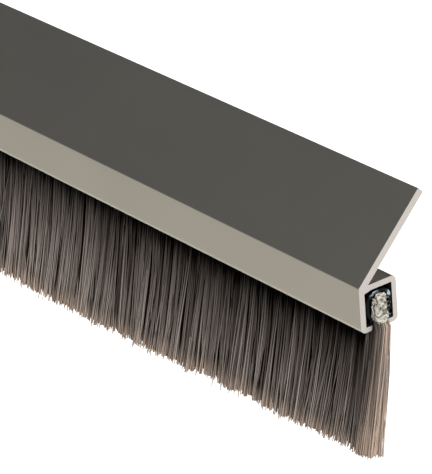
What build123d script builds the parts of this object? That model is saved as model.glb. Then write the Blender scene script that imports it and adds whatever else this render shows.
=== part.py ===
from build123d import *
import math
import os

# Brush door sweep: an aluminium carrier with a 45 degree fixing flange, and a brush strip that slides into
# its channel from the end. The strip is a steel backing folded over bristles that hang on a core wire.
# Drawn with X along the sweep, the plain side of the channel facing -Y, and the bristles hanging down.
# Section points are (y, z) from the fold line, where the flange meets the front wall of the channel.

# Overall length, in millimetres, for a door 36 inches wide
length = 914.0

# Brush strip
backing_width = 7.9
backing_height = 8.6
backing_metal = 0.9
backing_shoulder_radius = 3.0
backing_mouth_height = 1.3
backing_pinch_height = 1.6
crimp_pitch = 12.7
crimp_width = 1.6
crimp_depth = 0.35
wire_diameter = 1.6
pack_thickness = 4.2
fold_thickness = 4.9
bristle_reach = 35.8
bristle_tip_thickness = 5.6
bristle_lean = 7.3
bristle_bow = 1.0
tuft_pitch = 4.5
tuft_ridge = 0.45
tuft_notch_least = 0.5
tuft_notch_most = 2.4

# Clearances of the strip in the carrier
side_clearance = 0.35
seat_clearance = 0.3
head_clearance = 0.7
slot_clearance = 0.3
fold_clearance = 0.3

# Carrier
front_wall = 1.7
back_wall = 1.5
roof = 1.6
lip_thickness = 1.4
flange_width = 28.8
flange_thickness = 2.1
flange_angle = 45.0
outer_corner_radius = 1.6
lip_edge_radius = 0.5
flange_edge_radius = 0.3
root_slope_width = 2.1
root_slope_height = 0.45

# Sizes that follow from the values above
cavity_width = backing_width + 2 * side_clearance
cavity_height = backing_height + seat_clearance + head_clearance
channel_width = front_wall + cavity_width + back_wall
channel_height = roof + cavity_height + lip_thickness
slot_width = pack_thickness + 2 * slot_clearance
brush_centre = front_wall + cavity_width / 2
backing_top = -(roof + head_clearance)
backing_bottom = backing_top - backing_height
mouth_top = backing_bottom + backing_mouth_height
pinch_top = mouth_top + backing_pinch_height
fold_radius = fold_thickness / 2
wire_height = backing_top - backing_metal - fold_clearance - fold_radius
skirt_top = -(channel_height + slot_clearance)
tip_height = -(channel_height + bristle_reach)

# The origin is the middle of the outer face of the flange, which lies on the door
lean = math.radians(flange_angle)
mount_offset_y = flange_width / 2 * math.cos(lean)
mount_offset_z = flange_width / 2 * math.sin(lean)
to_mount_frame = Location((0, -mount_offset_y, -mount_offset_z))


def bar(section, size=length):
    """Extrude a section drawn as (y, z) along X, centred on the middle of the sweep."""
    start = Plane.YZ.offset(-size / 2)
    return extrude(start * section, amount=size)


def outline(*points):
    """The face inside a closed outline of straight sides."""
    return make_face(Polyline(*points, close=True))


def eased(face, radius, *corners):
    """Round the corners of a face that lie at the given points."""
    picked = [face.vertices().sort_by_distance(Vector(y, z))[0] for y, z in corners]
    return fillet(picked, radius)


def make_carrier():
    """One extrusion: the slotted channel that holds the strip, and the flange that leans over it."""
    inner_front = front_wall
    inner_back = channel_width - back_wall
    slot_front = brush_centre - slot_width / 2
    slot_back = brush_centre + slot_width / 2
    lip_top = lip_thickness - channel_height
    flange_y = flange_width * math.cos(lean)
    flange_z = flange_width * math.sin(lean)
    back_shift_y = flange_thickness * math.sin(lean)
    back_shift_z = -flange_thickness * math.cos(lean)
    flange_root_y = flange_thickness / math.sin(lean)
    section = outline(
        (0, 0),
        (flange_y, flange_z),
        (flange_y + back_shift_y, flange_z + back_shift_z),
        (flange_root_y, 0),
        (channel_width, 0),
        (channel_width, -channel_height),
        (slot_back, -channel_height),
        (slot_back, lip_top),
        (inner_back, lip_top),
        (inner_back, -roof),
        (inner_front + root_slope_width, -roof),
        (inner_front, -roof - root_slope_height),
        (inner_front, lip_top),
        (slot_front, lip_top),
        (slot_front, -channel_height),
        (0, -channel_height),
    )
    section = eased(
        section,
        outer_corner_radius,
        (0, -channel_height),
        (channel_width, -channel_height),
        (channel_width, 0),
    )
    section = eased(
        section,
        lip_edge_radius,
        (slot_front, -channel_height),
        (slot_back, -channel_height),
    )
    section = eased(
        section,
        flange_edge_radius,
        (flange_y, flange_z),
        (flange_y + back_shift_y, flange_z + back_shift_z),
    )
    return bar(section)


def backing_half_outline(inset):
    """Half widths of the backing from its top down, for the outside (inset 0) or the inside (inset metal)."""
    shoulder = backing_width / 2 - inset
    mouth = pack_thickness / 2 + backing_metal - inset
    return [
        (shoulder, backing_top - inset),
        (shoulder, pinch_top),
        (mouth, mouth_top),
        (mouth, backing_bottom),
    ]


def backing_shape(inset):
    """A round-topped arch that narrows to the mouth where it grips the bristles."""
    right = [(brush_centre + half, z) for half, z in backing_half_outline(inset)]
    left = [(brush_centre - half, z) for half, z in reversed(backing_half_outline(inset))]
    shoulders = (left[-1], right[0])
    return eased(outline(*right, *left), backing_shoulder_radius - inset, *shoulders)


def make_backing():
    """The folded steel strip, with a row of crimps pressed into each side."""
    section = backing_shape(0) - backing_shape(backing_metal)
    strip = bar(section)
    crimp_top = backing_top - backing_shoulder_radius
    crimp_height = crimp_top - pinch_top
    count = int(length / crimp_pitch)
    groove = Pos(0, 0, pinch_top) * extrude(
        outline((-crimp_width / 2, 0), (0, crimp_depth), (crimp_width / 2, 0)), amount=crimp_height
    )
    first = -(count - 1) / 2 * crimp_pitch
    front = brush_centre - backing_width / 2
    back = brush_centre + backing_width / 2
    grooves = []
    for number in range(count):
        place = first + number * crimp_pitch
        grooves.append(Pos(place, front, 0) * groove)
        grooves.append(Pos(place, back, 0) * Rot(0, 0, 180) * groove)
    return strip.cut(*grooves)


def make_core_wire():
    """The straight wire that the bristles are folded over."""
    return bar(Pos(brush_centre, wire_height) * Circle(wire_diameter / 2))


def tuft_outline(height, centre, thickness, ridge):
    """Plan outline of the skirt at one height: a row of ridges along each face, one for each tuft."""
    tufts = int(length / tuft_pitch)
    step = length / (2 * tufts)
    front = []
    back = []
    for number in range(2 * tufts + 1):
        x = -length / 2 + number * step
        swell = ridge if number % 2 else 0
        front.append(Vector(x, centre - thickness / 2 - swell, height))
        back.append(Vector(x, centre + thickness / 2 + swell, height))
    return Wire.make_polygon([*front, *reversed(back)])


def tip_comb():
    """What the uneven cut of the bristle tips leaves open: a saw edge with a point between each two tufts."""
    tufts = int(length / tuft_pitch)
    step = length / tufts
    edge = []
    for number in range(tufts + 1):
        x = -length / 2 + number * step
        share = abs(math.sin(number * 2.4))
        notch = tuft_notch_least + (tuft_notch_most - tuft_notch_least) * share
        edge.append((x, tip_height + notch))
        if number < tufts:
            edge.append((x + step / 2, tip_height + tuft_notch_least * share))
    floor = tip_height - tuft_notch_most
    face = outline((-length / 2, floor), *edge, (length / 2, floor))
    depth = channel_width + 2 * bristle_lean + bristle_tip_thickness
    return extrude(Plane.XZ * face, amount=depth, both=True)


def make_bristles():
    """The bristles as one body: folded over the wire, gripped in the mouth, then hanging in ridged tufts."""
    fold = Pos(brush_centre, wire_height) * Circle(fold_radius)
    fold_side = outline(
        (brush_centre - fold_radius, wire_height),
        (brush_centre - fold_radius, pinch_top),
        (brush_centre - pack_thickness / 2, mouth_top),
        (brush_centre - pack_thickness / 2, skirt_top),
        (brush_centre + pack_thickness / 2, skirt_top),
        (brush_centre + pack_thickness / 2, mouth_top),
        (brush_centre + fold_radius, pinch_top),
        (brush_centre + fold_radius, wire_height),
    )
    wire_hole = Pos(brush_centre, wire_height) * Circle(wire_diameter / 2)
    head = bar(fold + fold_side - wire_hole)
    middle_height = (skirt_top + tip_height) / 2
    middle_centre = brush_centre - bristle_lean / 2 + bristle_bow
    middle_thickness = (pack_thickness + bristle_tip_thickness) / 2
    outlines = [
        tuft_outline(skirt_top, brush_centre, pack_thickness, 0),
        tuft_outline(middle_height, middle_centre, middle_thickness, tuft_ridge),
        tuft_outline(tip_height, brush_centre - bristle_lean, bristle_tip_thickness, tuft_ridge),
    ]
    skirt = Solid.make_loft(outlines, ruled=True).cut(tip_comb())
    return head.fuse(skirt)


pieces = {
    "carrier": make_carrier,
    "brush_backing": make_backing,
    "core_wire": make_core_wire,
    "bristles": make_bristles,
}

os.makedirs("parts", exist_ok=True)
for name, make in pieces.items():
    export_step(to_mount_frame * make(), f"parts/{name}.step")
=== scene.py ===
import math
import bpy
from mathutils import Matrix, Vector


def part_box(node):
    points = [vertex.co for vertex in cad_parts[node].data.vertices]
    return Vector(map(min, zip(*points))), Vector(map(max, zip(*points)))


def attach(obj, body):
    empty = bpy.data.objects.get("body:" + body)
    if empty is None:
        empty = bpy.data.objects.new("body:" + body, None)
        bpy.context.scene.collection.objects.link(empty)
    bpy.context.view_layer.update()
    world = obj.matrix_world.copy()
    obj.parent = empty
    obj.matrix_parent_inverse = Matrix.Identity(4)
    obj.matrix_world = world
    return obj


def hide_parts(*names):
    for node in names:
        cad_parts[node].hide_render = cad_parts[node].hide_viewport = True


bl_info = {
    "name": "Brush Door Sweep",
    "version": (1, 0, 0),
    "blender": (4, 5, 0),
    "location": "3D View > Sidebar > Brush Sweep",
    "description": "Dresses a brush door sweep: aluminium carrier, steel backing, core wire and bristles",
    "category": "Add Mesh",
}

import bmesh
import bpy
import numpy as np
from bpy.props import FloatProperty, FloatVectorProperty, IntProperty, PointerProperty
from bpy.types import Operator, Panel, PropertyGroup
from mathutils import Matrix, Vector, noise

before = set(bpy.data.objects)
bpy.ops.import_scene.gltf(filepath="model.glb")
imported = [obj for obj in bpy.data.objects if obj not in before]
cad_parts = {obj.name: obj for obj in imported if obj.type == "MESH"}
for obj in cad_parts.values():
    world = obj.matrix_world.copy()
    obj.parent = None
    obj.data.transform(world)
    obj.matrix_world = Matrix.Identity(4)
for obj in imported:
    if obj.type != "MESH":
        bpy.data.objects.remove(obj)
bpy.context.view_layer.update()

MM = 0.001
CARRIER_LOW, CARRIER_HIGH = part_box("carrier")
BACKING_LOW, BACKING_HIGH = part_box("brush_backing")
WIRE_LOW, WIRE_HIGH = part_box("core_wire")
_, BRISTLES_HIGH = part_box("bristles")

# The sweep runs along X, and the near end of the photograph is the one at +X
HALF_LENGTH = CARRIER_HIGH.x

# The fold line, where the flange leaves the front wall. The origin is the middle of the flange's outer face,
# so the fold lies as far below it as in front of it on a flange at 45 degrees.
FLANGE_ANGLE = math.radians(45)
FOLD_Y = CARRIER_LOW.y
FOLD_Z = CARRIER_LOW.y * math.tan(FLANGE_ANGLE)
FLANGE_WIDTH = -2 * CARRIER_LOW.y / math.cos(FLANGE_ANGLE)
BRUSH_CENTRE = (BACKING_LOW.y + BACKING_HIGH.y) / 2
WIRE_HEIGHT = (WIRE_LOW.z + WIRE_HIGH.z) / 2

# The photograph's frame in pixels, and where its camera stood
PICTURE_WIDE = 432
PICTURE_HIGH = 474
FOCAL_PIXELS = 3322.0
NEAR_FOLD_PIXEL = (358.7, 289.3)
CAMERA_DISTANCE = 808.7 * MM
CAMERA_AZIMUTH = math.radians(54.46)
CAMERA_ELEVATION = math.radians(25.39)
CAMERA_ROLL = math.radians(-4.64)
SENSOR_WIDTH = 36.0

# Index of refraction of nylon
NYLON_IOR = 1.53

# The studio floor lies well below the sweep, which is fixed to a door and rests on nothing
FLOOR_HEIGHT = -0.4


def linear(colour):
    """An sRGB hex colour, such as B2AA9E, as linear red, green and blue."""
    parts = [int(colour[place : place + 2], 16) / 255 for place in (0, 2, 4)]
    return tuple(p / 12.92 if p <= 0.04045 else ((p + 0.055) / 1.055) ** 2.4 for p in parts)


def size(name, text, value):
    """A length that a user can change, given in millimetres."""
    return FloatProperty(name=name, description=text, default=value * MM, unit="LENGTH", min=0.0)


def ratio(name, text, value):
    """A plain number that a user can change, such as a slope."""
    return FloatProperty(name=name, description=text, default=value)


def whole(name, text, value):
    """A whole number that a user can change."""
    return IntProperty(name=name, description=text, default=value)


def tint(name, text, colour):
    """A colour that a user can change, given as sRGB hex."""
    return FloatVectorProperty(
        name=name, description=text, default=linear(colour), subtype="COLOR", size=3, min=0.0, max=1.0
    )


class CarrierSizes(PropertyGroup):
    front_wall: size("Front wall", "Thickness of the plain front wall of the channel", 1.7)
    back_wall: size("Back wall", "Thickness of the rear wall of the channel", 1.5)
    roof: size("Roof", "Thickness of the wall over the brush", 1.6)
    lip: size("Lip", "Thickness of the two lips that hold the brush", 1.4)
    slot: size("Slot", "Width of the slot between the lips", 4.8)
    channel: size("Channel", "Width of the channel outside", 11.8)
    flange: size("Flange", "Thickness of the fixing flange", 2.1)
    corner: size("Corner radius", "Radius of the outer corners of the channel", 1.6)
    lip_edge: size("Lip edge radius", "Radius of the lower edges of the lips", 0.5)
    flange_edge: size("Flange edge radius", "Radius of the free edge of the flange", 0.3)
    inner_corner: size("Inner corner radius", "Radius inside the channel", 0.25)
    fold_edge: size("Fold radius", "Radius of the fold between flange and front wall", 0.2)
    root_width: size("Root width", "Width of the sloped root under the flange", 2.1)
    root_height: size("Root height", "Height of the sloped root under the flange", 0.45)
    saw_arris: size("Saw arris", "Rounding that deburring leaves on the sawn ends", 0.12)
    anodised: tint("Anodised", "Colour of the satin anodised faces", "B4ADA0")
    sawn: tint("Sawn", "Colour of the bare sawn ends", "C4BEB8")


class BackingSizes(PropertyGroup):
    metal: size("Metal", "Thickness of the steel strip", 0.9)
    shoulder: size("Shoulder radius", "Outer radius at the top of the backing", 3.0)
    mouth: size("Mouth", "Height of the straight mouth that grips the bristles", 1.3)
    pinch: size("Pinch", "Height over which the sides narrow to the mouth", 1.6)
    pack: size("Pack", "Thickness of the bristles in the mouth", 4.2)
    crimp_pitch: size("Crimp pitch", "Distance between crimps", 12.7)
    crimp_width: size("Crimp width", "Width of a crimp", 1.6)
    crimp_depth: size("Crimp depth", "Depth of a crimp", 0.35)
    wire: size("Wire", "Diameter of the core wire", 1.6)
    steel: tint("Steel", "Colour of the galvanised steel", "2A2F34")
    # The bright patches also stand as painted highlights on the cut end
    sheared: tint("Sheared steel", "Colour of the bright patches where the strip was cut", "B4C4CC")
    wire_steel: tint("Wire steel", "Colour of the drawn wire", "8E8C88")


class BristleSizes(PropertyGroup):
    filament: size("Filament", "Diameter of one bristle", 0.3)
    per_mm: ratio("Bristles per millimetre", "How many bristles hang in each millimetre", 30.0)
    reach: size("Reach", "Length of the bristles below the channel", 38.2)
    forward: ratio("Forward lean", "Lean towards the front, as a slope", 0.19)
    forward_end: ratio("Forward lean at the ends", "Lean towards the front at the two ends", 0.13)
    inward: ratio("Inward lean", "Lean along the sweep, away from the nearer end", 0.0)
    inward_end: ratio("Inward lean near the ends", "Greatest lean away from the nearer end", 0.1)
    end_trim: size("End trim", "How much shorter the bristles are cut towards the ends", 4.3)
    trim_zone: size("Trim zone", "Length over which the cut rises towards an end", 115.0)
    end_extra: ratio("Extra bristles at the ends", "Share of bristles added in each end zone", 1.0)
    end_zone: size("End zone", "Length over which the bristles near an end lean differently", 22.0)
    clump: size("Clump", "Mean distance between the clumps that the bristles gather into", 1.0)
    groups: whole("Groups", "How many pieces the row of bristles is made in", 6)
    end_folds: whole("Folds at an end", "Folded bristles that show at each end", 120)
    end_stubs: whole("Stubs at an end", "Cut bristle stubs that stick out of each end", 30)
    seed: whole("Seed", "Start value of the scatter", 7)
    nylon: tint("Nylon", "Colour of the bristles", "978C84")
    # The darker colour is also painted shade: on the bristles inside the pack, in the pits of the crushed
    # ends and on the fold inside the strip
    nylon_dark: tint("Dark nylon", "Colour of the darker bristles", "130C08")
    nylon_tip: tint("Nylon tips", "Colour of the cut tips", "CEB6A3")
    fold: tint("Folded nylon", "Colour of the pale, crushed bristles at the ends", "CDC8BA")


def add_node(tree, kind, inputs=(), **settings):
    """Add a node with its settings. Inputs give each socket a value or the output that feeds it."""
    node = tree.nodes.new(kind)
    for name, value in settings.items():
        setattr(node, name, value)
    for socket, value in dict(inputs).items():
        if isinstance(value, bpy.types.NodeSocket):
            tree.links.new(value, node.inputs[socket])
        else:
            node.inputs[socket].default_value = value
    return node


def new_material(name, **values):
    """A node material with its tree and its Principled shader, whose named sockets get the given values."""
    material = bpy.data.materials.new(name)
    material.use_nodes = True
    tree = material.node_tree
    shader = tree.nodes["Principled BSDF"]
    for socket, value in values.items():
        shader.inputs[socket].default_value = value
    return material, tree, shader


def rgba(colour, factor=1.0):
    """A colour with full alpha, made darker or paler by a factor."""
    return (*[min(1.0, part * factor) for part in colour], 1.0)


def feed(shader, socket, output):
    """Lead an output into a socket of a shader."""
    shader.id_data.links.new(output, shader.inputs[socket])


def object_place(tree):
    """Where a point of the surface lies on the object, in metres."""
    return add_node(tree, "ShaderNodeTexCoord").outputs["Object"]


def strand_parts(tree):
    """What the strand map holds: each filament's shade, which for the row of bristles carries painted light
    and shade, and the height up the filament.
    """
    strand = add_node(tree, "ShaderNodeUVMap", uv_map="strand").outputs["UV"]
    parts = add_node(tree, "ShaderNodeSeparateXYZ", {"Vector": strand})
    return parts.outputs["X"], parts.outputs["Y"]


def grains(tree, place, spacing, detail):
    """Noise with patches of one size in metres."""
    settings = {"Vector": place, "Scale": 1 / spacing, "Detail": detail}
    return add_node(tree, "ShaderNodeTexNoise", settings).outputs["Fac"]


def streaks(tree, place, spacing, detail, rotation=(0, 0, 0), roughness=0.5):
    """Noise with patches of different sizes along X, Y and Z, in metres."""
    scale = [1 / part for part in spacing]
    stretched = add_node(tree, "ShaderNodeMapping", {"Vector": place, "Rotation": rotation, "Scale": scale})
    settings = {"Vector": stretched.outputs[0], "Scale": 1.0, "Detail": detail, "Roughness": roughness}
    return add_node(tree, "ShaderNodeTexNoise", settings).outputs["Fac"]


def calculate(tree, operation, *values, **settings):
    """One step of arithmetic on values or the outputs that give them."""
    inputs = dict(enumerate(values))
    return add_node(tree, "ShaderNodeMath", inputs, operation=operation, **settings).outputs[0]


def remap(tree, value, low, high, to_low=0.0, to_high=1.0, **settings):
    """Carry a value from one range to another."""
    ranges = {"Value": value, "From Min": low, "From Max": high, "To Min": to_low, "To Max": to_high}
    return add_node(tree, "ShaderNodeMapRange", ranges, **settings).outputs[0]


def blend(tree, factor, first, second):
    """A number between two, by a factor from 0 to 1."""
    return add_node(tree, "ShaderNodeMix", {0: factor, 2: first, 3: second}, data_type="FLOAT").outputs[0]


def blend_colours(tree, factor, first, second):
    """A colour between two, by a factor from 0 to 1."""
    return add_node(tree, "ShaderNodeMix", {0: factor, 6: first, 7: second}, data_type="RGBA").outputs[2]


def paint(shader, factor, first, second):
    """Give a shader a base colour between two, by a factor from 0 to 1."""
    feed(shader, "Base Color", blend_colours(shader.id_data, factor, first, second))


def scale_colour(tree, colour, factor):
    """A colour times a number."""
    inputs = {0: colour, "Scale": factor}
    return add_node(tree, "ShaderNodeVectorMath", inputs, operation="SCALE").outputs[0]


def add_bump(tree, shader, height, strength, distance):
    """Let a pattern raise the surface, by a real distance where it is 1."""
    bump = add_node(tree, "ShaderNodeBump", {"Strength": strength, "Distance": distance, "Height": height})
    feed(shader, "Normal", bump.outputs[0])


def anodised_aluminium(colour):
    """Extruded 6063 aluminium, etched and clear anodised: a satin skin with faint die lines along it."""
    material, tree, shader = new_material("satin_anodised_aluminium", Metallic=1.0)
    place = object_place(tree)
    # Die lines, drawn coarser than real ones so that they show
    line_width, line_length = 0.6 * MM, 150 * MM
    lines = streaks(tree, place, (line_length, line_width, line_width), 3.0, roughness=0.6)
    # Broad patches of the etch, and its fine grain
    patches = grains(tree, place, 30 * MM, 2.0)
    grain = grains(tree, place, 0.5 * MM, 2.0)
    paint(shader, patches, rgba(colour, 0.95), rgba(colour, 1.05))
    feed(shader, "Roughness", remap(tree, lines, 0.3, 0.7, 0.385, 0.415))
    add_bump(tree, shader, blend(tree, 0.35, lines, grain), 0.35, 0.012 * MM)
    return material


def sawn_aluminium(colour):
    """Bare aluminium left by a saw: bright, a little rough, with fine marks across the cut."""
    material, tree, shader = new_material("sawn_aluminium", Metallic=1.0)
    # Tooth marks, drawn coarser than real ones so that they show
    mark_length, mark_width = 4 * MM, 0.4 * MM
    saw_angle = math.radians(30)
    spacing = (mark_length, mark_length, mark_width)
    marks = streaks(tree, object_place(tree), spacing, 4.0, rotation=(saw_angle, 0, 0))
    paint(shader, marks, rgba(colour, 0.86), rgba(colour, 1.1))
    feed(shader, "Roughness", remap(tree, marks, 0.3, 0.7, 0.45, 0.62))
    add_bump(tree, shader, marks, 0.5, 0.03 * MM)
    return material


def galvanised_steel(colour):
    """Cold rolled steel strip with a thin zinc coat: dark and bluish, in crystals that shine differently."""
    material, tree, shader = new_material("galvanised_steel", Metallic=1.0)
    place = object_place(tree)
    crystal_size, dent_size = 2 * MM, 1.2 * MM
    cells = add_node(tree, "ShaderNodeTexVoronoi", {"Vector": place, "Scale": 1 / crystal_size})
    crystals = cells.outputs["Color"]
    paint(shader, crystals, rgba(colour, 0.75), rgba(colour, 1.5))
    feed(shader, "Roughness", remap(tree, crystals, 0.0, 1.0, 0.28, 0.5))
    add_bump(tree, shader, grains(tree, place, dent_size, 3.0), 0.6, 0.08 * MM)
    return material


def sheared_steel(dark, bright):
    """The cut end of the strip, dark with painted shade where it lies deep in the channel, with bright
    patches of bare bluish zinc that also stand as painted highlights.
    """
    material, tree, shader = new_material("sheared_steel", Metallic=1.0, Roughness=0.35)
    place = object_place(tree)
    # The pattern is moved so that its bright patches lie where the photograph shows them
    patch_size = 2.2 * MM
    moved = add_node(tree, "ShaderNodeMapping", {"Vector": place, "Location": (0.0, 2.2 * MM, 1.7 * MM)})
    torn = grains(tree, moved.outputs[0], patch_size, 3.0)
    patch = remap(tree, torn, 0.49, 0.58)
    # The front leg of the strip gets no bright patches and stays dark: painted shade, where it lies in shadow
    across = add_node(tree, "ShaderNodeSeparateXYZ", {"Vector": place}).outputs["Y"]
    leg = remap(tree, across, BRUSH_CENTRE - 3.0 * MM, BRUSH_CENTRE - 2.0 * MM)
    zinc_and_painted_highlight = calculate(tree, "MULTIPLY", patch, leg)
    # Painted shade in the dark base, painted highlights in the bright patches
    paint(shader, zinc_and_painted_highlight, rgba(dark, 0.3), rgba(bright))
    add_bump(tree, shader, torn, 0.8, 0.1 * MM)
    return material


def drawn_wire(colour):
    """Drawn low carbon steel wire: grey, with fine lines along it."""
    material, tree, shader = new_material("drawn_steel_wire", Metallic=1.0)
    line_width, line_length = 0.2 * MM, 20 * MM
    lines = streaks(tree, object_place(tree), (line_length, line_width, line_width), 2.0)
    paint(shader, lines, rgba(colour, 0.7), rgba(colour, 1.2))
    feed(shader, "Roughness", remap(tree, lines, 0.0, 1.0, 0.3, 0.5))
    return material


def nylon_bristle(dark, light, tip):
    """Extruded nylon filament: smooth, a little glossy, each its own grey brown, with paler cut tips, and
    with painted light and shade along it.
    """
    material, tree, shader = new_material("nylon_bristle", IOR=NYLON_IOR, Roughness=0.42)
    # For a viewer that can't read the sheen below
    shader.inputs["Specular IOR Level"].default_value = 0.2
    strand_shade, height = strand_parts(tree)
    shade = blend_colours(tree, strand_shade, rgba(dark), rgba(light))
    # Painted shade darkens the filaments near the root, where the channel and the packed filaments shade
    # them, and painted light makes them paler lower down; the paler ones are darkened less far
    rise = calculate(tree, "MULTIPLY_ADD", strand_shade, 0.16, height)
    root = remap(tree, rise, 0.23, 0.84, 0.035, 1.3)
    root_shaded = scale_colour(tree, shade, root)
    # The reflections are weakened by the same painted shade
    lit = calculate(tree, "MULTIPLY", root, strand_shade)
    sheen = calculate(tree, "MULTIPLY", lit, 0.4)
    feed(shader, "Specular IOR Level", sheen)
    # The last seventh of each filament slowly gets paler: partly the paler cut tips, partly painted light on
    # the tips
    painted_paling = remap(tree, height, 0.85, 1.0, 0.0, 0.92, interpolation_type="SMOOTHSTEP")
    # A dark filament has a darker tip, so the painted shade inside the pack reaches the tips too
    tip_tone = scale_colour(tree, tip, remap(tree, strand_shade, 0.0, 1.0, 0.5, 1.0, clamp=False))
    paint(shader, painted_paling, root_shaded, tip_tone)
    return material


def folded_nylon(dark, pale):
    """Nylon filaments crushed by the cut: stress-whitened to a pale beige, some still dark."""
    material, tree, shader = new_material("nylon_bristle_fold", IOR=NYLON_IOR, Roughness=0.4)
    strand_shade, _ = strand_parts(tree)
    paint(shader, strand_shade, rgba(dark), rgba(pale))
    return material


def crushed_nylon(dark, pale):
    """Nylon smeared and whitened by the shears, pale on its crests, with painted shade that darkens the pits
    between them.
    """
    material, tree, shader = new_material("nylon_crushed_by_cut", IOR=NYLON_IOR, Roughness=0.35)
    crest_and_painted_shade = add_node(tree, "ShaderNodeAttribute", attribute_name="crest_and_painted_shade").outputs["Fac"]
    paint(shader, remap(tree, crest_and_painted_shade, 0.0, 0.95), rgba(dark), rgba(pale))
    return material


def packed_nylon_painted_dark(colour):
    """The same nylon filaments pressed together in the fold, in the dark colour as painted shade inside the
    strip: fine upright streaks with darker gaps between.
    """
    material, tree, shader = new_material("packed_nylon_fold", IOR=NYLON_IOR, Roughness=0.55)
    streak_width, streak_length = 0.3 * MM, 10 * MM
    upright = streaks(tree, object_place(tree), (streak_width, streak_width, streak_length), 2.0)
    paint(shader, upright, rgba(colour, 0.25), rgba(colour, 1.3))
    return material


def new_object(name, data):
    """Link a mesh, a curve, a camera or a lamp to the scene as an object."""
    item = bpy.data.objects.new(name, data)
    bpy.context.scene.collection.objects.link(item)
    return item


def mesh_piece(name, bm, materials):
    """Turn a finished bmesh into an object of the scene, smooth but for edges that turn sharply."""
    sharp = math.radians(28)
    for face in bm.faces:
        face.smooth = True
    for edge in bm.edges:
        if len(edge.link_faces) == 2 and edge.calc_face_angle(0) > sharp:
            edge.smooth = False
    mesh = bpy.data.meshes.new(name)
    bm.to_mesh(mesh)
    bm.free()
    piece = finished(name, mesh, materials)
    # Broad flat faces keep their own normals, and the narrow rounded edges blend between them
    even = piece.modifiers.new("even_shading", "WEIGHTED_NORMAL")
    even.keep_sharp = True
    return piece


def finished(name, mesh, materials):
    """Link a mesh as an object at the origin, with its materials."""
    for material in materials:
        mesh.materials.append(material)
    return new_object(name, mesh)


def section_face(bm, points, x):
    """A flat face at one X from its (y, z) points."""
    return bm.faces.new([bm.verts.new((x, y, z)) for y, z in points])


def quarter_arc(y, z, radius, steps):
    """Points of a quarter circle about (y, z), from beside it to above it."""
    turns = [math.radians(90) * step / steps for step in range(steps + 1)]
    return [(y + radius * math.cos(turn), z + radius * math.sin(turn)) for turn in turns]


def round_off(bm, parts, radius, segments, **settings):
    """Round corners or edges with an even arc."""
    arc = {"offset": radius, "offset_type": "OFFSET", "segments": segments, "profile": 0.5, "material": -1}
    bmesh.ops.bevel(bm, geom=parts, **arc, **settings)


def round_corners(bm, corners, radius, segments):
    """Round the section's corners that lie at the given (y, z) points."""
    picked = []
    for y, z in corners:
        picked.append(min(bm.verts, key=lambda v: (v.co.y - y) ** 2 + (v.co.z - z) ** 2))
    round_off(bm, picked, radius, segments, affect="VERTICES")


def extrude_section(bm, length):
    """Draw the section out along X into a closed bar, its faces outward."""
    drawn = bmesh.ops.extrude_face_region(bm, geom=bm.faces[:], use_keep_orig=True)
    moved = [part for part in drawn["geom"] if isinstance(part, bmesh.types.BMVert)]
    bmesh.ops.translate(bm, verts=moved, vec=(length, 0, 0))
    bmesh.ops.recalc_face_normals(bm, faces=bm.faces[:])


def ease_ends(bm, amount, segments):
    """Take the burr off both ends: round every edge between an end face and the sides."""
    ends = [e for e in bm.edges if sum(abs(f.normal.x) > 0.9 for f in e.link_faces) == 1]
    round_off(bm, ends, amount, segments, affect="EDGES", clamp_overlap=True)


def paint_ends(bm):
    """Give the cut faces, which look along the sweep, the second material."""
    for face in bm.faces:
        if abs(face.normal.x) > 0.5:
            face.material_index = 1


def tubes_mesh(name, paths, radius, sides):
    """Tubes of one radius along many paths, an array by strand, point and axis, each with closed ends."""
    rim = bpy.data.curves.new(name + "_section", "CURVE")
    ring = rim.splines.new("POLY")
    ring.points.add(sides - 1)
    ring.use_cyclic_u = True
    for number, point in enumerate(ring.points):
        turn = 2 * math.pi * number / sides
        point.co = (radius * math.cos(turn), radius * math.sin(turn), 0, 1)
    rim_object = new_object(name + "_section", rim)
    curve = bpy.data.curves.new(name, "CURVE")
    curve.dimensions = "3D"
    curve.twist_mode = "MINIMUM"
    curve.bevel_mode = "OBJECT"
    curve.bevel_object = rim_object
    curve.use_fill_caps = True
    count, points, _ = paths.shape
    places = np.ones((count, points, 4))
    places[:, :, :3] = paths
    for strand in places:
        spline = curve.splines.new("POLY")
        spline.points.add(points - 1)
        spline.points.foreach_set("co", strand.ravel())
        spline.use_smooth = True
    holder = new_object(name, curve)
    bpy.context.view_layer.update()
    shaped = holder.evaluated_get(bpy.context.evaluated_depsgraph_get())
    mesh = bpy.data.meshes.new_from_object(shaped)
    mesh.name = name
    for used in (holder, rim_object):
        bpy.data.objects.remove(used)
    return mesh


def write_strand_map(mesh, shades, starts, heights, sides):
    """Give each filament its own shade across the map, and its height from its start value to 1 up it.

    The mesh of a bevelled curve starts with the two end caps of every tube, the last tube first, and goes on
    with the rings of the tubes in order. Once the map is written the caps are joined to their tubes.
    """
    layer = mesh.uv_layers.new(name="strand")
    corners = np.zeros(len(mesh.loops), np.int32)
    mesh.loops.foreach_get("vertex_index", corners)
    heights = np.array(heights)
    count = len(shades)
    ring = corners - count * 2 * sides
    is_cap = ring < 0
    strand = np.where(is_cap, count - 1 - corners // (2 * sides), ring // (len(heights) * sides))
    tube_height = heights[ring % (len(heights) * sides) // sides]
    cap_height = 1 - corners // sides % 2
    height = np.where(is_cap, cap_height, tube_height)
    height = starts[strand] + (1 - starts[strand]) * height
    places = np.column_stack((shades[strand], height)).astype(np.float32)
    layer.data.foreach_set("uv", places.ravel())
    bm = bmesh.new()
    bm.from_mesh(mesh)
    bmesh.ops.remove_doubles(bm, verts=bm.verts[:], dist=0.0001 * MM)
    bm.to_mesh(mesh)
    bm.free()


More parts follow.
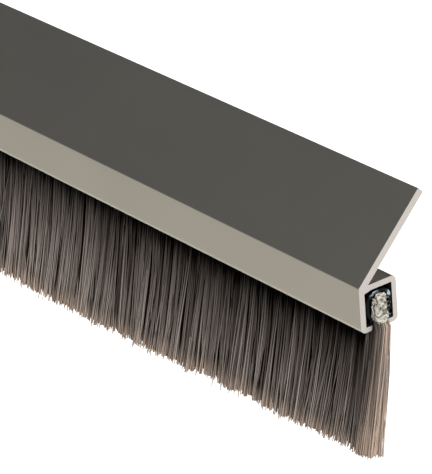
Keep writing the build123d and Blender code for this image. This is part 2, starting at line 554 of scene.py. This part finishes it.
class SWEEP_OT_carrier(Operator):
    """Make the aluminium extrusion: slotted channel, lips and leaning flange, with sawn ends"""

    bl_idname = "sweep.carrier"
    bl_label = "Carrier"

    def execute(self, context):
        sizes = context.scene.sweep_carrier
        bottom = CARRIER_LOW.z
        back = FOLD_Y + sizes.channel
        roof_under = FOLD_Z - sizes.roof
        lip_top = bottom + sizes.lip
        inner_front = FOLD_Y + sizes.front_wall
        inner_back = back - sizes.back_wall
        slot_front = BRUSH_CENTRE - sizes.slot / 2
        slot_back = BRUSH_CENTRE + sizes.slot / 2
        run, rise = math.cos(FLANGE_ANGLE), math.sin(FLANGE_ANGLE)
        tip = (FOLD_Y + FLANGE_WIDTH * run, FOLD_Z + FLANGE_WIDTH * rise)
        tip_back = (tip[0] + sizes.flange * rise, tip[1] - sizes.flange * run)
        root = (FOLD_Y + sizes.flange / rise, FOLD_Z)
        points = [
            (FOLD_Y, FOLD_Z),
            tip,
            tip_back,
            root,
            (back, FOLD_Z),
            (back, bottom),
            (slot_back, bottom),
            (slot_back, lip_top),
            (inner_back, lip_top),
            (inner_back, roof_under),
            (inner_front + sizes.root_width, roof_under),
            (inner_front, roof_under - sizes.root_height),
            (inner_front, lip_top),
            (slot_front, lip_top),
            (slot_front, bottom),
            (FOLD_Y, bottom),
        ]
        bm = bmesh.new()
        section_face(bm, points, -HALF_LENGTH)
        round_corners(bm, [(back, FOLD_Z), (back, bottom), (FOLD_Y, bottom)], sizes.corner, 8)
        round_corners(bm, [(slot_back, bottom), (slot_front, bottom)], sizes.lip_edge, 4)
        round_corners(bm, [tip, tip_back], sizes.flange_edge, 4)
        inner = [(inner_back, lip_top), (inner_back, roof_under), (inner_front, lip_top)]
        inner += [(slot_back, lip_top), (slot_front, lip_top), root]
        round_corners(bm, inner, sizes.inner_corner, 3)
        round_corners(bm, [(FOLD_Y, FOLD_Z)], sizes.fold_edge, 3)
        extrude_section(bm, 2 * HALF_LENGTH)
        ease_ends(bm, sizes.saw_arris, 2)
        paint_ends(bm)
        materials = [anodised_aluminium(sizes.anodised), sawn_aluminium(sizes.sawn)]
        piece = mesh_piece("carrier_extrusion", bm, materials)
        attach(piece, "carrier")
        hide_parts("carrier")
        return {"FINISHED"}


def backing_outline(sizes, inset):
    """Points of the arch down one side and up the other, for the outside or, with an inset, the inside."""
    half = (BACKING_HIGH.y - BACKING_LOW.y) / 2 - inset
    mouth = sizes.pack / 2 + sizes.metal - inset
    mouth_top = BACKING_LOW.z + sizes.mouth
    pinch_top = mouth_top + sizes.pinch
    crown = BACKING_HIGH.z - inset
    radius = sizes.shoulder - inset
    side = [(mouth, BACKING_LOW.z), (mouth, mouth_top), (half, pinch_top)]
    side += quarter_arc(half - radius, crown - radius, radius, 8)
    right = [(BRUSH_CENTRE + y, z) for y, z in side]
    left = [(BRUSH_CENTRE - y, z) for y, z in reversed(side)]
    return right + left


class SWEEP_OT_backing(Operator):
    """Make the folded steel backing with its pressed crimps"""

    bl_idname = "sweep.backing"
    bl_label = "Steel backing"

    def execute(self, context):
        sizes = context.scene.sweep_backing
        points = backing_outline(sizes, 0) + list(reversed(backing_outline(sizes, sizes.metal)))
        bm = bmesh.new()
        section_face(bm, points, -HALF_LENGTH)
        extrude_section(bm, 2 * HALF_LENGTH)
        count = int(2 * HALF_LENGTH / sizes.crimp_pitch)
        first = -(count - 1) / 2 * sizes.crimp_pitch
        middles = [first + number * sizes.crimp_pitch for number in range(count)]
        for middle in middles:
            for shift in (-1, 0, 1):
                everything = bm.verts[:] + bm.edges[:] + bm.faces[:]
                cut = (middle + shift * sizes.crimp_width / 2, 0, 0)
                bmesh.ops.bisect_plane(bm, geom=everything, plane_co=cut, plane_no=(1, 0, 0))
        # The middle of each crimp is pressed in, over the straight part of the sides
        low = BACKING_LOW.z + sizes.mouth + sizes.pinch / 2
        high = BACKING_HIGH.z - sizes.shoulder / 2
        for vert in bm.verts:
            nearest = min(middles, key=lambda middle: abs(vert.co.x - middle))
            if abs(vert.co.x - nearest) < sizes.crimp_width / 8 and low < vert.co.z < high:
                vert.co.y += math.copysign(sizes.crimp_depth, BRUSH_CENTRE - vert.co.y)
        burr = 0.06 * MM
        ease_ends(bm, burr, 1)
        paint_ends(bm)
        materials = [galvanised_steel(sizes.steel), sheared_steel(sizes.steel, sizes.sheared)]
        piece = mesh_piece("backing_channel", bm, materials)
        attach(piece, "brush")
        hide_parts("brush_backing")
        return {"FINISHED"}


class SWEEP_OT_core_wire(Operator):
    """Make the straight wire that the bristles are folded over"""

    bl_idname = "sweep.core_wire"
    bl_label = "Core wire"

    def execute(self, context):
        sizes = context.scene.sweep_backing
        bm = bmesh.new()
        centre = Matrix.Translation((0, BRUSH_CENTRE, WIRE_HEIGHT))
        along = centre @ Matrix.Rotation(math.radians(90), 4, "Y")
        ends = {"radius1": sizes.wire / 2, "radius2": sizes.wire / 2}
        bmesh.ops.create_cone(bm, cap_ends=True, segments=24, **ends, depth=2 * HALF_LENGTH, matrix=along)
        rounding = 0.15 * MM
        ease_ends(bm, rounding, 3)
        piece = mesh_piece("bristle_core_wire", bm, [drawn_wire(sizes.wire_steel)])
        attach(piece, "brush")
        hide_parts("core_wire")
        return {"FINISHED"}


def waves(x, scatter, wavelengths):
    """A smooth wander along X, between about -1 and 1, made of a few waves with their own phases."""
    total = np.zeros_like(x)
    for wavelength in wavelengths:
        total += np.sin(2 * math.pi * x / wavelength + scatter.uniform(0, 2 * math.pi))
    return total / len(wavelengths)


# Where the points of a hanging bristle lie, as shares of its length below the channel, how far each is drawn
# to the middle of its clump, and the heights on the strand map, which start at its root inside the backing
SHARES = (0.0, 0.36, 0.72, 1.0)
CLOSE = (0.1, 0.5, 0.7, 0.4)
HEIGHTS = (0.0, 0.04, 0.38, 0.73, 1.0)

# Wavelengths along X, in metres, of what changes slowly along the row, and how far it swings
FORWARD_WAVES = (0.083, 0.047, 0.019)
INWARD_WAVES = (0.061, 0.029, 0.013)
CLUMP_WAVES = (0.017, 0.0071, 0.0043)
TRIM_WAVES = (0.041, 0.015)
FORWARD_SWING = 0.03
INWARD_SWING = 0.035
TRIM_SWING = 0.22 * MM

# How much the clumps and the single bristles vary, as standard deviations, and the share that strays
CLUMP_SLANT = 0.022
CLUMP_TILT = 0.012
CLUMP_TRIM = 0.09 * MM
CLUMP_SHADE = 0.09
STRAND_SLANT = 0.012
STRAND_TILT = 0.02
STRAND_BOW = 0.25 * MM
STRAND_TRIM = 0.25 * MM
STRAND_SHADE = 0.17
STRAY_SLANT = 0.07
STRAY_TILT = 0.05
STRAY_SHARE = 0.05

# Layers of clumps from front to back, how far each is moved beside the last as a share of a clump, and a
# number above the count of clumps in one, so that no two layers share a clump's number
LAYERS = 5
LAYER_SHIFT = 0.37
LAYER_KEY = 7919

# At an end: how near it the extra bristles lie, as a share of the end zone, how far in the flare, the longer
# bristles and the face with its painted light reach, and how far the bristles flare out and back
EXTRA_SPREAD = 0.2
FLARE_ZONE = 5 * MM
LOW_ZONE = 14 * MM
FACE_ZONE = 3.5 * MM
FLARE_OUT = 1.4 * MM
FLARE_BACK = 1.2 * MM

# Further than this from an end the row has its full painted light level
PALE_ZONE = 150 * MM

# Sides of a bristle's tube: few in the row of thousands, more in the fold, which shows close up
ROW_SIDES = 3
FOLD_SIDES = 5


def bristle_places(sizes, scatter):
    """Where the bristles stand along X, in order, and how deep in the pack, from -1 in front to 1 behind."""
    length = 2 * HALF_LENGTH
    margin = sizes.filament
    row = scatter.uniform(-HALF_LENGTH + margin, HALF_LENGTH - margin, int(length / MM * sizes.per_mm))
    # The fanned ends take more bristles, so that they stay as closed as the rest of the row
    extra = int(sizes.end_zone / MM * sizes.per_mm * sizes.end_extra)
    from_end = np.abs(scatter.normal(0, sizes.end_zone * EXTRA_SPREAD, extra)) + margin
    ends = (HALF_LENGTH - from_end) * np.where(np.arange(extra) % 2, 1, -1)
    x = np.sort(np.concatenate((row, ends)))
    return x, scatter.uniform(-1, 1, len(x))


def hanging_paths(sizes, backing, slot, scatter):
    """Where every bristle runs, from the mouth of the backing through the slot to its tip, and its tones."""
    x, depth = bristle_places(sizes, scatter)
    total = len(x)
    pack = (backing.pack - sizes.filament) / 2
    top = BACKING_LOW.z + backing.mouth / 2

    # How far each bristle is from the nearer end, and the share of the end's own lean that it takes
    end_side = np.sign(x)
    from_end = HALF_LENGTH - np.abs(x)
    near = np.exp(-((from_end / sizes.end_zone) ** 2))
    hump = near * np.clip(from_end / (0.35 * sizes.end_zone), 0, 1)
    forward = sizes.forward + (sizes.forward_end - sizes.forward) * near
    inward = sizes.inward + (sizes.inward_end - sizes.inward) * hump
    forward = forward + FORWARD_SWING * waves(x, scatter, FORWARD_WAVES)
    inward = inward + INWARD_SWING * waves(x, scatter, INWARD_WAVES)

    # Bristles gather into clumps, which differ between the front, the middle and the back of the pack
    outer = np.clip((np.abs(depth) - 0.5) / 0.25, 0, 1)
    layer = np.floor((depth + 1) / 2 * LAYERS)
    shift = layer * LAYER_SHIFT * sizes.clump
    wander = 0.6 * sizes.clump * waves(x, scatter, CLUMP_WAVES)
    place = (x + shift + wander) / sizes.clump
    clump = np.floor(place)
    pull = (clump + 0.5 - place) * sizes.clump
    key = (clump + layer * LAYER_KEY).astype(np.int64)
    names, which = np.unique(key, return_inverse=True)
    clump_slant = scatter.normal(0, CLUMP_SLANT, len(names))[which]
    clump_forward = scatter.normal(0, CLUMP_TILT, len(names))[which]
    clump_length = scatter.normal(0, CLUMP_TRIM, len(names))[which]
    clump_shade = scatter.normal(0, CLUMP_SHADE, len(names))[which]
    pull *= scatter.uniform(0.5, 1.1, len(names))[which] * outer

    # Each bristle has its own slant, tilt, bow and length, and a few stray further
    stray = (scatter.uniform(0, 1, total) < STRAY_SHARE) & (from_end > 6 * MM)
    slant = scatter.normal(0, STRAND_SLANT, total) + stray * scatter.normal(0, STRAY_SLANT, total)
    tilt = scatter.normal(0, STRAND_TILT, total) + stray * scatter.normal(0, STRAY_TILT, total)
    bow = scatter.normal(0, STRAND_BOW, (total, 2))
    trim = TRIM_SWING * waves(x, scatter, TRIM_WAVES) + clump_length + scatter.normal(0, STRAND_TRIM, total)
    trim -= sizes.end_trim * np.exp(-((from_end / sizes.trim_zone) ** 2))

    # At the very end the bristles flare out and hang lower, those at the back most
    splay = np.clip(1 - from_end / FLARE_ZONE, 0, 1) ** 2
    trim += 1.6 * MM * splay * (0.6 + depth) + 0.9 * MM * np.clip(1 - from_end / LOW_ZONE, 0, 1)
    out = end_side * splay * FLARE_OUT
    rear = splay * FLARE_BACK * np.clip(depth, 0, 1)

    side_slope = -end_side * inward + clump_slant + slant
    front_slope = -(forward + clump_forward + tilt)
    drop = (sizes.reach + trim) / np.sqrt(1 + side_slope**2 + front_slope**2)
    paths = np.zeros((total, len(HEIGHTS), 3))
    paths[:, 0] = np.column_stack((x + out, BRUSH_CENTRE + depth * pack, np.full(total, top)))
    for number, (share, close) in enumerate(zip(SHARES, CLOSE), start=1):
        # The lean starts slowly, the bow is at mid-length, the pack opens downwards and the flare closes
        bent = share**1.15
        swell = math.sin(math.pi * share)
        spread = 1 + 0.3 * share
        flared = out * (1.55 - 1.4 * share**0.7)
        paths[:, number, 0] = x + flared + side_slope * drop * bent + pull * close + bow[:, 0] * swell
        across = depth * pack * spread + rear
        if share == 0:
            # The lips hold every bristle inside the slot
            across = np.clip(across, sizes.filament - slot / 2, slot / 2 - sizes.filament)
        paths[:, number, 1] = BRUSH_CENTRE + across + front_slope * drop * bent + bow[:, 1] * swell
        paths[:, number, 2] = CARRIER_LOW.z - drop * share
    shade, start = bristle_tones(depth, from_end, outer, clump_shade, scatter)
    return paths, shade, start


def bristle_tones(depth, from_end, outer, clump_shade, scatter):
    """Each bristle's shade from dark to pale, and where it starts on the strand map's height."""
    total = len(depth)
    # Inside the pack the bristles are painted dark, a painted shade, so that the gaps between the outer
    # clumps look deep
    face = np.clip(1.3 - from_end / FACE_ZONE - scatter.uniform(0, 0.4, total), 0, 1)
    seen = np.maximum(outer, face)
    # Towards its ends the row is darker: painted shade, and painted light towards its middle
    middle = 0.58 + 0.3 * np.clip(from_end / PALE_ZONE, 0, 1) ** 2
    varied = clump_shade + scatter.normal(0, STRAND_SHADE, total)
    shade = np.clip(middle * seen + varied * (0.05 + 0.95 * seen), 0, 1)
    # The face of the end itself is painted pale all the way up, more so at the back: painted light, where the
    # lamp at the end falls on it
    painted_paling = face * scatter.uniform(0.4, 1.1, total) * (0.8 + 0.55 * depth)
    shade = np.where(face > 0.5, painted_paling, shade)
    start = face * np.minimum(0.945 + 0.055 * depth + scatter.uniform(-0.04, 0.02, total), 1)
    return shade, start


class SWEEP_OT_bristles(Operator):
    """Make the hanging bristles, one tube each, in several pieces along the sweep"""

    bl_idname = "sweep.bristles"
    bl_label = "Bristles"

    def execute(self, context):
        sizes = context.scene.sweep_bristles
        backing = context.scene.sweep_backing
        scatter = np.random.RandomState(sizes.seed)
        slot = context.scene.sweep_carrier.slot
        paths, shade, start = hanging_paths(sizes, backing, slot, scatter)
        material = nylon_bristle(sizes.nylon_dark, sizes.nylon, sizes.nylon_tip)
        for number, part in enumerate(np.array_split(np.arange(len(paths)), sizes.groups), start=1):
            mesh = tubes_mesh(f"bristle_row_{number}", paths[part], sizes.filament / 2, ROW_SIDES)
            write_strand_map(mesh, shade[part], start[part], HEIGHTS, ROW_SIDES)
            piece = finished(f"bristle_row_{number}", mesh, [material])
            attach(piece, "brush")
            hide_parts("bristles")
        return {"FINISHED"}


def crushed_fold(sizes, scatter):
    """The lump at each end where the cut has crushed the folded bristles together: a boxy ball, crumpled."""
    bm = bmesh.new()
    low, high = BACKING_LOW.z - 0.3 * MM, BRISTLES_HIGH.z + 0.7 * MM
    half = Vector((0.75 * MM, 1.85 * MM, (high - low) / 2))
    # How far apart the cracks lie along, across and up the lump, in millimetres, and how deep they are
    crack_spacing = (2.0, 2.4, 1.3)
    crack_depth = 0.45
    # Chips lie between the cracks, this many times closer
    chip_scale = 2.6
    crest_and_painted_shade = bm.verts.layers.float.new("crest_and_painted_shade")
    for end in (-1, 1):
        ball = bmesh.ops.create_icosphere(bm, subdivisions=6, radius=1.0)["verts"]
        shift = Vector(scatter.uniform(-50, 50, 3))
        for vert in ball:
            unit = vert.co.normalized()
            boxy = Vector([math.copysign(abs(part) ** 0.5, part) for part in unit])
            place = Vector([part * size for part, size in zip(boxy, half)])
            block = Vector([part / spacing for part, spacing in zip(place, crack_spacing)]) / MM + shift
            crack = min(1, abs(noise.noise(block)) * 4)
            chip = noise.noise(block * chip_scale)
            level = crack * (0.75 + 0.9 * chip)
            # The crest value also sets the painted shade that darkens the pits in the material
            vert[crest_and_painted_shade] = min(1, max(0, level))
            vert.co = place - unit * (1 - vert[crest_and_painted_shade]) * crack_depth * MM
            vert.co += Vector((end * (HALF_LENGTH + half.x), BRUSH_CENTRE, (low + high) / 2))
    mesh = bpy.data.meshes.new("crushed_fold")
    bm.to_mesh(mesh)
    bm.free()
    return finished("crushed_fold", mesh, [crushed_nylon(sizes.nylon_dark, sizes.fold)])


def fold_paths(sizes, backing, most, scatter):
    """The folded bristles that show at each end: up beside the wire, over it and down the other side."""
    least = backing.wire / 2 + sizes.filament / 2
    wide = most * 0.74
    turns = 9
    paths = []
    for end in (-1, 1):
        for _ in range(sizes.end_folds):
            # The outermost filaments have sprung out over the end of the wire
            out = scatter.uniform(-0.6, 0.2) * MM
            inner = 0.3 * MM if out > sizes.filament / 2 else least
            radius = math.sqrt(scatter.uniform(inner**2, wide**2))
            x = end * (HALF_LENGTH + out)
            mouth = (backing.pack / 2 - sizes.filament / 2) * scatter.uniform(0.2, 0.8)
            lean = scatter.normal(0, 0.3 * MM)
            crumple = 0.28 * MM if out > 0 else 0.06 * MM
            points = [(x + lean, BRUSH_CENTRE - mouth, BACKING_LOW.z)]
            for step in range(turns):
                turn = math.pi * (1 - step / (turns - 1))
                wobble = scatter.normal(0, crumple, 3)
                y = BRUSH_CENTRE + radius * math.cos(turn) + wobble[0]
                z = WIRE_HEIGHT + radius * math.sin(turn) + wobble[1]
                points.append((x + wobble[2], y, z))
            points.append((x - lean, BRUSH_CENTRE + mouth, BACKING_LOW.z))
            paths.append(points)
    return np.array(paths)


def stub_paths(sizes, most, scatter):
    """The short cut ends of bristles that stick out of each end of the strip."""
    # Where a stub starts inside the strip, and how much of the fold's height and width the stubs fill
    inside = 0.6 * MM
    filled = 0.75
    stubs = []
    for end in (-1, 1):
        for _ in range(sizes.end_stubs):
            y = BRUSH_CENTRE + scatter.uniform(-filled, filled) * most
            z = scatter.uniform(BACKING_LOW.z, WIRE_HEIGHT + filled * most)
            out = scatter.uniform(0.5, 1.3) * MM
            root = Vector((end * (HALF_LENGTH - inside), y, z))
            bend = Vector(scatter.normal(0, 0.3 * MM, 3))
            tip = Vector((end * (HALF_LENGTH + out), y, z)) + bend * 2
            stubs.append([root, (root + tip) / 2 + bend, tip])
    return np.array(stubs)


def packed_fold_mesh(backing, most):
    """The fold behind the end filaments, one mass from end to end: a neck, shoulders and a round top."""
    mouth_top = BACKING_LOW.z + backing.mouth
    behind_end = 2 * MM
    neck = backing.pack / 2 - 0.05 * MM
    body = [(neck, BACKING_LOW.z + 0.2 * MM), (neck, mouth_top), (most, mouth_top + backing.pinch)]
    body += quarter_arc(0, WIRE_HEIGHT, most, 6)
    right = [(BRUSH_CENTRE + y, z) for y, z in body]
    left = [(BRUSH_CENTRE - y, z) for y, z in reversed(body[:-1])]
    bm = bmesh.new()
    section_face(bm, right + left, -HALF_LENGTH + behind_end)
    extrude_section(bm, 2 * HALF_LENGTH - 2 * behind_end)
    return bm


class SWEEP_OT_bristle_fold(Operator):
    """Make the part of the bristles inside the backing, folded over the wire"""

    bl_idname = "sweep.bristle_fold"
    bl_label = "Folded bristles"

    def execute(self, context):
        sizes = context.scene.sweep_bristles
        backing = context.scene.sweep_backing
        scatter = np.random.RandomState(sizes.seed + 1)
        most = BRISTLES_HIGH.z - WIRE_HEIGHT - sizes.filament / 2
        folds = fold_paths(sizes, backing, most, scatter)
        stubs = stub_paths(sizes, most, scatter)
        material = folded_nylon(sizes.nylon_dark, sizes.fold)
        pieces = [crushed_fold(sizes, scatter)]
        for name, lines in (("folded_bristles", folds), ("cut_bristle_stubs", stubs)):
            mesh = tubes_mesh(name, lines, sizes.filament / 2, FOLD_SIDES)
            shades = scatter.uniform(0, 1, len(lines))
            heights = np.linspace(0, 1, lines.shape[1])
            write_strand_map(mesh, shades, np.zeros(len(lines)), heights, FOLD_SIDES)
            pieces.append(finished(name, mesh, [material]))
        # The fold inside the strip is dark with painted shade
        dark = packed_nylon_painted_dark(sizes.nylon_dark)
        pieces.append(mesh_piece("packed_fold", packed_fold_mesh(backing, most), [dark]))
        for piece in pieces:
            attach(piece, "brush")
            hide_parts("bristles")
        return {"FINISHED"}


def photo_camera():
    """The camera where the photograph's stood: its turn, and where the near end of the fold shows."""
    azimuth, elevation = CAMERA_AZIMUTH, CAMERA_ELEVATION
    outward = math.cos(elevation)
    back = Vector((math.sin(azimuth) * outward, -math.cos(azimuth) * outward, math.sin(elevation)))
    level = Vector((math.cos(azimuth), math.sin(azimuth), 0))
    upright = back.cross(level)
    right = math.cos(CAMERA_ROLL) * level + math.sin(CAMERA_ROLL) * upright
    up = -math.sin(CAMERA_ROLL) * level + math.cos(CAMERA_ROLL) * upright
    across = (NEAR_FOLD_PIXEL[0] - PICTURE_WIDE / 2) / FOCAL_PIXELS
    above = (PICTURE_HIGH / 2 - NEAR_FOLD_PIXEL[1]) / FOCAL_PIXELS
    near_fold = Vector((HALF_LENGTH, FOLD_Y, FOLD_Z))
    place = near_fold - (right * across + up * above - back) * CAMERA_DISTANCE
    data = bpy.data.cameras.new("photo_camera")
    data.sensor_width = SENSOR_WIDTH
    data.lens = FOCAL_PIXELS / PICTURE_HIGH * SENSOR_WIDTH
    camera = new_object("photo_camera", data)
    turned = Matrix((right, up, back)).transposed().to_4x4()
    camera.matrix_world = Matrix.Translation(place) @ turned
    bpy.context.scene.camera = camera


def studio_world():
    """A white surround for the camera and for reflections, and a softer one for light on matt surfaces."""
    world = bpy.data.worlds.new("white_studio")
    world.use_nodes = True
    bpy.context.scene.world = world
    tree = world.node_tree
    surround = tree.nodes["Background"]
    surround.inputs["Color"].default_value = (1, 1, 1, 1)
    rays = add_node(tree, "ShaderNodeLightPath").outputs
    seen = calculate(tree, "ADD", rays["Is Camera Ray"], rays["Is Glossy Ray"])
    seen_through = calculate(tree, "ADD", seen, rays["Is Transmission Ray"], use_clamp=True)
    strength = remap(tree, seen_through, 0.0, 1.0, 0.3, 1.0)
    feed(surround, "Strength", strength)


def floor_paint():
    """Matt white studio paint, lifted to white for the camera. From below it can't be seen."""
    material, tree, shader = new_material("studio_floor_paint", Roughness=0.9)
    shader.inputs["Base Color"].default_value = (0.7, 0.7, 0.69, 1)
    shader.inputs["Emission Color"].default_value = (1, 1, 1, 1)
    rays = add_node(tree, "ShaderNodeLightPath").outputs
    # A glow that shows only in reflections lies as a runner under the object, and the lower edge of the
    # channel mirrors it as a painted highlight. Beyond the near end the whole floor glows in reflections too,
    # and the sawn end mirrors that.
    place = add_node(tree, "ShaderNodeSeparateXYZ", {"Vector": object_place(tree)}).outputs
    aside = calculate(tree, "ABSOLUTE", place["Y"])
    runner = remap(tree, aside, 0.15, 0.25, 1.6, 0.24)
    beyond = remap(tree, place["X"], 0.6, 0.8)
    mirrored = calculate(tree, "MULTIPLY", rays["Is Glossy Ray"], blend(tree, beyond, runner, 0.75))
    lift = calculate(tree, "MULTIPLY_ADD", rays["Is Camera Ray"], 0.95, mirrored)
    feed(shader, "Emission Strength", lift)
    clear = add_node(tree, "ShaderNodeBsdfTransparent")
    back = add_node(tree, "ShaderNodeNewGeometry").outputs["Backfacing"]
    sided = add_node(tree, "ShaderNodeMixShader", {0: back, 1: shader.outputs[0], 2: clear.outputs[0]})
    tree.links.new(sided.outputs[0], tree.nodes["Material Output"].inputs["Surface"])
    return material


def dark_card(name, colour):
    """Dark studio card that glows evenly, so that its tone in a reflection is known."""
    material, tree, shader = new_material(name)
    glow = add_node(tree, "ShaderNodeEmission", {"Color": rgba(colour), "Strength": 1.0})
    tree.links.new(glow.outputs[0], tree.nodes["Material Output"].inputs["Surface"])
    tree.nodes.remove(shader)
    return material


def facing(place, direction):
    """The turn and place of something at a point whose +Z looks in a direction."""
    return Matrix.Translation(place) @ direction.to_track_quat("Z", "Y").to_matrix().to_4x4()


def flat_card(name, side, place, towards, material):
    """A square stage card at a place, facing a point."""
    bm = bmesh.new()
    turned = facing(place, towards - place)
    bmesh.ops.create_grid(bm, x_segments=1, y_segments=1, size=side / 2, matrix=turned)
    card = mesh_piece(name, bm, [material])
    return card


def soft_lamp(name, side, power, place, towards):
    """A square soft lamp aimed at a point."""
    data = bpy.data.lights.new(name, "AREA")
    data.shape = "SQUARE"
    data.size = side
    data.energy = power
    lamp = new_object(name, data)
    # A lamp shines along its own -Z
    lamp.matrix_world = facing(place, place - towards)
    return lamp


class SWEEP_OT_stage(Operator):
    """Set the floor, the soft light, the dark cards that the metal reflects and the camera"""

    bl_idname = "sweep.stage"
    bl_label = "Studio"

    def execute(self, context):
        photo_camera()
        studio_world()
        near_end = Vector((HALF_LENGTH, 0, 0))
        floor_centre = Vector((0, 0, FLOOR_HEIGHT))
        flat_card("studio_floor", 60.0, floor_centre, Vector((0, 0, 1)), floor_paint())
        # What lies up and beyond the far end is dark: the flange mirrors the wall, and the top of the channel
        # behind it the panel
        grey = dark_card("grey_card", (0.1, 0.112, 0.128))
        brown = dark_card("brown_card", (0.035, 0.027, 0.019))
        for name, side, place, material in (
            ("dark_wall", 12.0, Vector((-3.0, 0, 5.8)), grey),
            ("dark_panel", 11.0, Vector((-3.7, 3.0, 4.1)), brown),
        ):
            card = flat_card(name, side, place, Vector((HALF_LENGTH, 0, place.z)), material)
            card.visible_camera = False
            card.visible_diffuse = False
            card.visible_shadow = False
        key_place = near_end + Vector((0.75, -0.3, 0.6)) * 2.4
        key = soft_lamp("key_lamp", 1.0, 60.0, key_place, near_end)
        # Metal shows the white studio and not the lamp, so that the flange has no burnt-out patch
        key.visible_glossy = False
        # From low behind, so that the back of the brush is lit and nothing that faces up or forward is
        soft_lamp("back_lamp", 0.3, 5.0, Vector((0, 1.5, -0.2)), Vector((0, 0, -0.03)))
        context.scene.view_settings.view_transform = "Standard"
        return {"FINISHED"}


class SWEEP_PT_panel(Panel):
    """The pieces of the brush door sweep"""

    bl_idname = "SWEEP_PT_panel"
    bl_label = "Brush Door Sweep"
    bl_space_type = "VIEW_3D"
    bl_region_type = "UI"
    bl_category = "Brush Sweep"

    def draw(self, context):
        for operator in OPERATORS:
            self.layout.operator(operator.bl_idname)
        for group in GROUPS:
            sizes = getattr(context.scene, group)
            box = self.layout.box()
            for name in sizes.__annotations__:
                box.prop(sizes, name)


OPERATORS = (
    SWEEP_OT_carrier,
    SWEEP_OT_backing,
    SWEEP_OT_core_wire,
    SWEEP_OT_bristle_fold,
    SWEEP_OT_bristles,
    SWEEP_OT_stage,
)
GROUPS = {"sweep_carrier": CarrierSizes, "sweep_backing": BackingSizes, "sweep_bristles": BristleSizes}
CLASSES = (*GROUPS.values(), *OPERATORS, SWEEP_PT_panel)


def register():
    for item in CLASSES:
        bpy.utils.register_class(item)
    for name, group in GROUPS.items():
        setattr(bpy.types.Scene, name, PointerProperty(type=group))


def unregister():
    for name in GROUPS:
        delattr(bpy.types.Scene, name)
    for item in reversed(CLASSES):
        bpy.utils.unregister_class(item)


def main():
    register()
    for operator in OPERATORS:
        group, name = operator.bl_idname.split(".")
        getattr(getattr(bpy.ops, group), name)()


if __name__ == "__main__":
    main()
